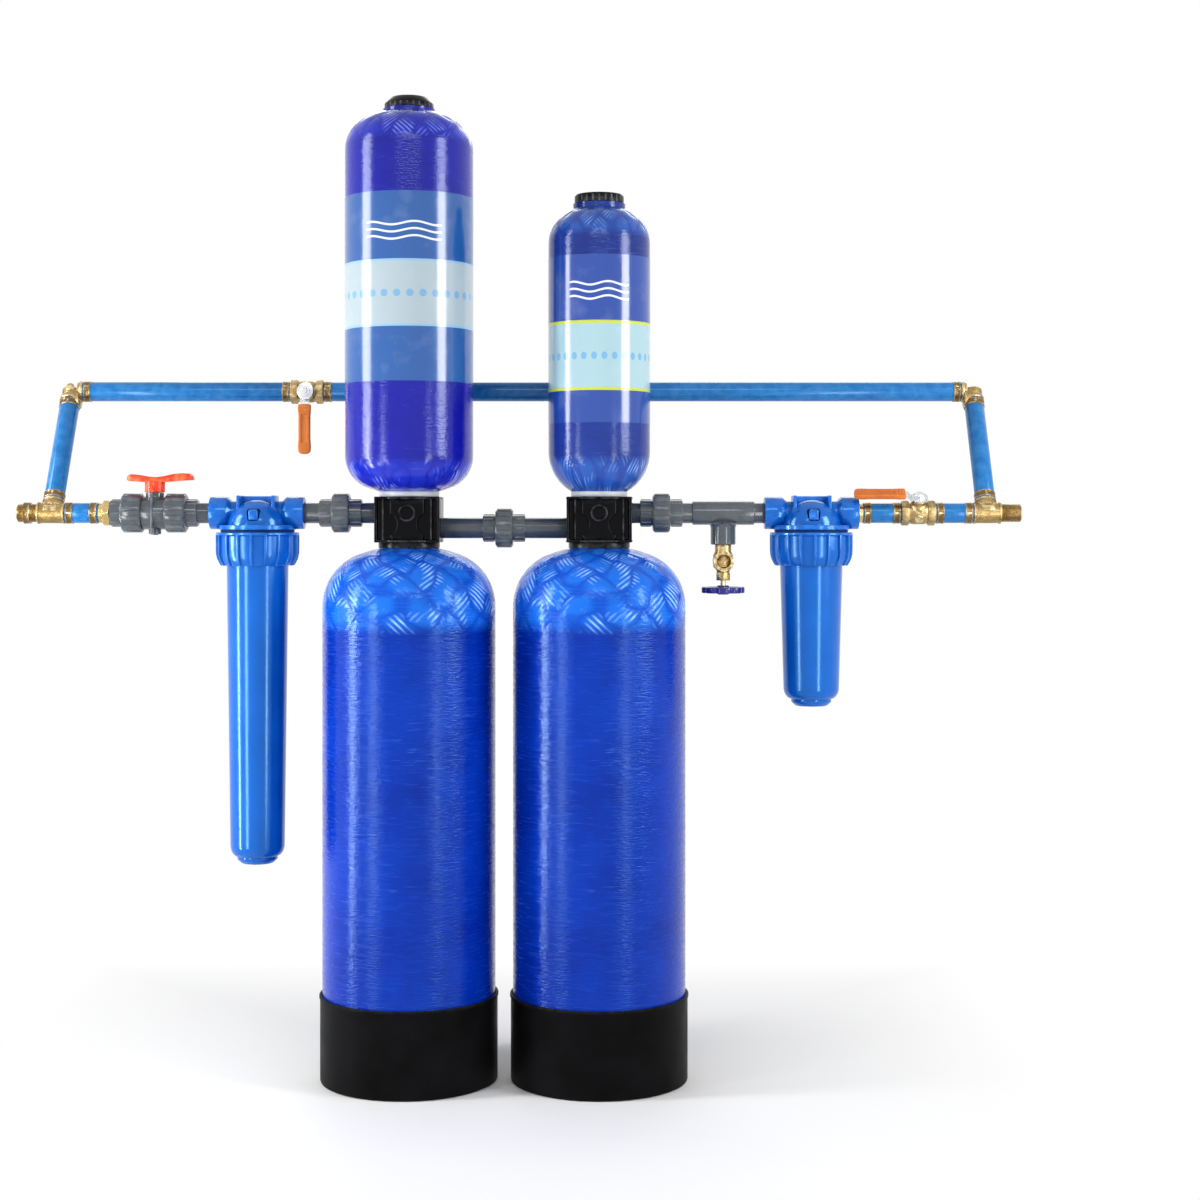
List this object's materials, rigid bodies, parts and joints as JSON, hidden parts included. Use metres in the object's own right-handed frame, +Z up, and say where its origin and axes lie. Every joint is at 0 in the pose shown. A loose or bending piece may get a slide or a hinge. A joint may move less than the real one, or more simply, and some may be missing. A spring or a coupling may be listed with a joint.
{
  "type": "whole house water filter",
  "caption": "Whole house water filter: two floor tanks under upper tanks, slim filter housings, ball valves, unions and a bypass pipe loop.",
  "frame": {"origin": "centre of the left boot's underside, on the floor", "axes": "+Z up, +X along the run with the water from inlet to outlet, front faces -Y"},
  "size_m": [1.3033, 0.2346, 1.2733],
  "materials": {
    "tank_blue": "glossy blue fibreglass-wrapped shell",
    "black_plastic": "black moulded plastic",
    "filter_blue": "glossy blue moulded plastic",
    "pipe_blue": "satin blue plastic pipe with dark bronze crimp rings",
    "grey_plastic": "satin dark grey pressure-pipe plastic",
    "brass": "cast brass with some patina",
    "bright_ball": "plated ball and stem",
    "lever": "plated steel lever in an orange dipped grip",
    "red_plastic": "red-orange moulded plastic",
    "navy_plastic": "dark blue painted wheel",
    "white_plastic": "white plastic",
    "media": "loose granular carbon and media",
    "fibre": "wound white fibre",
    "seal": "black rubber"
  },
  "bodies": {
    "frame": {"left_boot": "black_plastic", "left_tank": "tank_blue", "left_media_bed": "media", "left_riser_tube": "white_plastic", "left_head": "black_plastic", "left_upper_tank": "tank_blue", "left_upper_cap": "black_plastic", "right_boot": "black_plastic", "right_tank": "tank_blue", "right_media_bed": "media", "right_riser_tube": "white_plastic", "right_head": "black_plastic", "right_upper_tank": "tank_blue", "right_upper_cap": "black_plastic", "long_filter_cap": "filter_blue", "short_filter_cap": "filter_blue", "first_union_left_end": "grey_plastic", "first_union_right_end": "grey_plastic", "second_union_left_end": "grey_plastic", "second_union_right_end": "grey_plastic", "third_union_left_end": "grey_plastic", "sampling_tee": "grey_plastic", "sampling_valve_body": "brass", "inlet_valve_body": "grey_plastic", "inlet_valve_left_end": "grey_plastic", "inlet_valve_right_end": "grey_plastic", "inlet_adapter": "brass", "inlet_tee": "brass", "outlet_tee": "brass", "left_elbow": "brass", "right_elbow": "brass", "inlet_pipe": "pipe_blue", "left_riser_pipe": "pipe_blue", "right_riser_pipe": "pipe_blue", "left_bypass_pipe": "pipe_blue", "right_bypass_pipe": "pipe_blue", "last_pipe": "pipe_blue", "outlet_pipe": "pipe_blue", "bypass_valve_body": "brass", "outlet_valve_body": "brass"},
    "inlet_handle": {"inlet_valve_handle": "red_plastic", "inlet_valve_ball": "white_plastic"},
    "bypass_lever": {"bypass_valve_lever": "lever", "bypass_valve_ball": "bright_ball"},
    "outlet_lever": {"outlet_valve_lever": "lever", "outlet_valve_ball": "bright_ball"},
    "handwheel": {"sampling_valve_handwheel": "navy_plastic"},
    "long_button": {"long_filter_button": "filter_blue"},
    "short_button": {"short_filter_button": "filter_blue"},
    "long_cartridge": {"long_filter_cartridge": "fibre"},
    "long_sump": {"long_filter_sump": "filter_blue", "long_filter_seal": "seal"},
    "short_cartridge": {"short_filter_cartridge": "fibre"},
    "short_sump": {"short_filter_sump": "filter_blue", "short_filter_seal": "seal"},
    "first_nut": {"first_union_nut": "grey_plastic"},
    "second_nut": {"second_union_nut": "grey_plastic"},
    "third_nut": {"third_union_nut": "grey_plastic"},
    "inlet_left_nut": {"inlet_valve_left_nut": "grey_plastic"},
    "inlet_right_nut": {"inlet_valve_right_nut": "grey_plastic"}
  },
  "joints": [
    {"name": "inlet_valve_turn", "type": "hinge", "parent": "frame", "child": "inlet_handle", "pos_m": [-0.3305, 0, 0.734], "axis": [0, 0, 1], "range_deg": [0, 90]},
    {"name": "bypass_valve_turn", "type": "hinge", "parent": "frame", "child": "bypass_lever", "pos_m": [-0.1466, 0.104, 0.898], "axis": [0, 1, 0], "range_deg": [0, 90]},
    {"name": "outlet_valve_turn", "type": "hinge", "parent": "frame", "child": "outlet_lever", "pos_m": [0.6611, 0, 0.734], "axis": [0, -0.5878, 0.809], "range_deg": [0, 90]},
    {"name": "handwheel_turn", "type": "hinge", "parent": "frame", "child": "handwheel", "pos_m": [0.408, 0, 0.6715], "axis": [0, 0, 1], "range_deg": [0, 1080]},
    {"name": "long_button_press", "type": "slide", "parent": "frame", "child": "long_button", "axis": [0, 1, 0], "range_m": [0, 0.003], "stiffness_N_per_m": 400},
    {"name": "short_button_press", "type": "slide", "parent": "frame", "child": "short_button", "axis": [0, 1, 0], "range_m": [0, 0.003], "stiffness_N_per_m": 400},
    {"name": "long_sump_drop", "type": "slide", "parent": "frame", "child": "long_cartridge", "axis": [0, 0, -1], "range_m": [0, 0.0121]},
    {"name": "long_sump_turn", "type": "hinge", "parent": "long_cartridge", "child": "long_sump", "pos_m": [-0.197, 0, 0.734], "axis": [0, 0, 1], "range_deg": [0, 1080]},
    {"name": "short_sump_drop", "type": "slide", "parent": "frame", "child": "short_cartridge", "axis": [0, 0, -1], "range_m": [0, 0.0121]},
    {"name": "short_sump_turn", "type": "hinge", "parent": "short_cartridge", "child": "short_sump", "pos_m": [0.5225, 0, 0.734], "axis": [0, 0, 1], "range_deg": [0, 1080]},
    {"name": "first_nut_turn", "type": "hinge", "parent": "frame", "child": "first_nut", "pos_m": [-0.0885, 0, 0.734], "axis": [1, 0, 0], "range_deg": [0, 900]},
    {"name": "second_nut_turn", "type": "hinge", "parent": "frame", "child": "second_nut", "pos_m": [0.1235, 0, 0.7145], "axis": [1, 0, 0], "range_deg": [0, 900]},
    {"name": "third_nut_turn", "type": "hinge", "parent": "frame", "child": "third_nut", "pos_m": [0.3275, 0, 0.734], "axis": [1, 0, 0], "range_deg": [0, 900]},
    {"name": "inlet_left_nut_turn", "type": "hinge", "parent": "frame", "child": "inlet_left_nut", "pos_m": [-0.3305, 0, 0.734], "axis": [1, 0, 0], "range_deg": [0, 900]},
    {"name": "inlet_right_nut_turn", "type": "hinge", "parent": "frame", "child": "inlet_right_nut", "pos_m": [-0.3305, 0, 0.734], "axis": [1, 0, 0], "range_deg": [0, 900]}
  ],
  "couplings": [
    {"joint": "long_sump_drop", "follows": "long_sump_turn", "m_per_rad": 0.00063662},
    {"joint": "short_sump_drop", "follows": "short_sump_turn", "m_per_rad": 0.00063662}
  ]
}
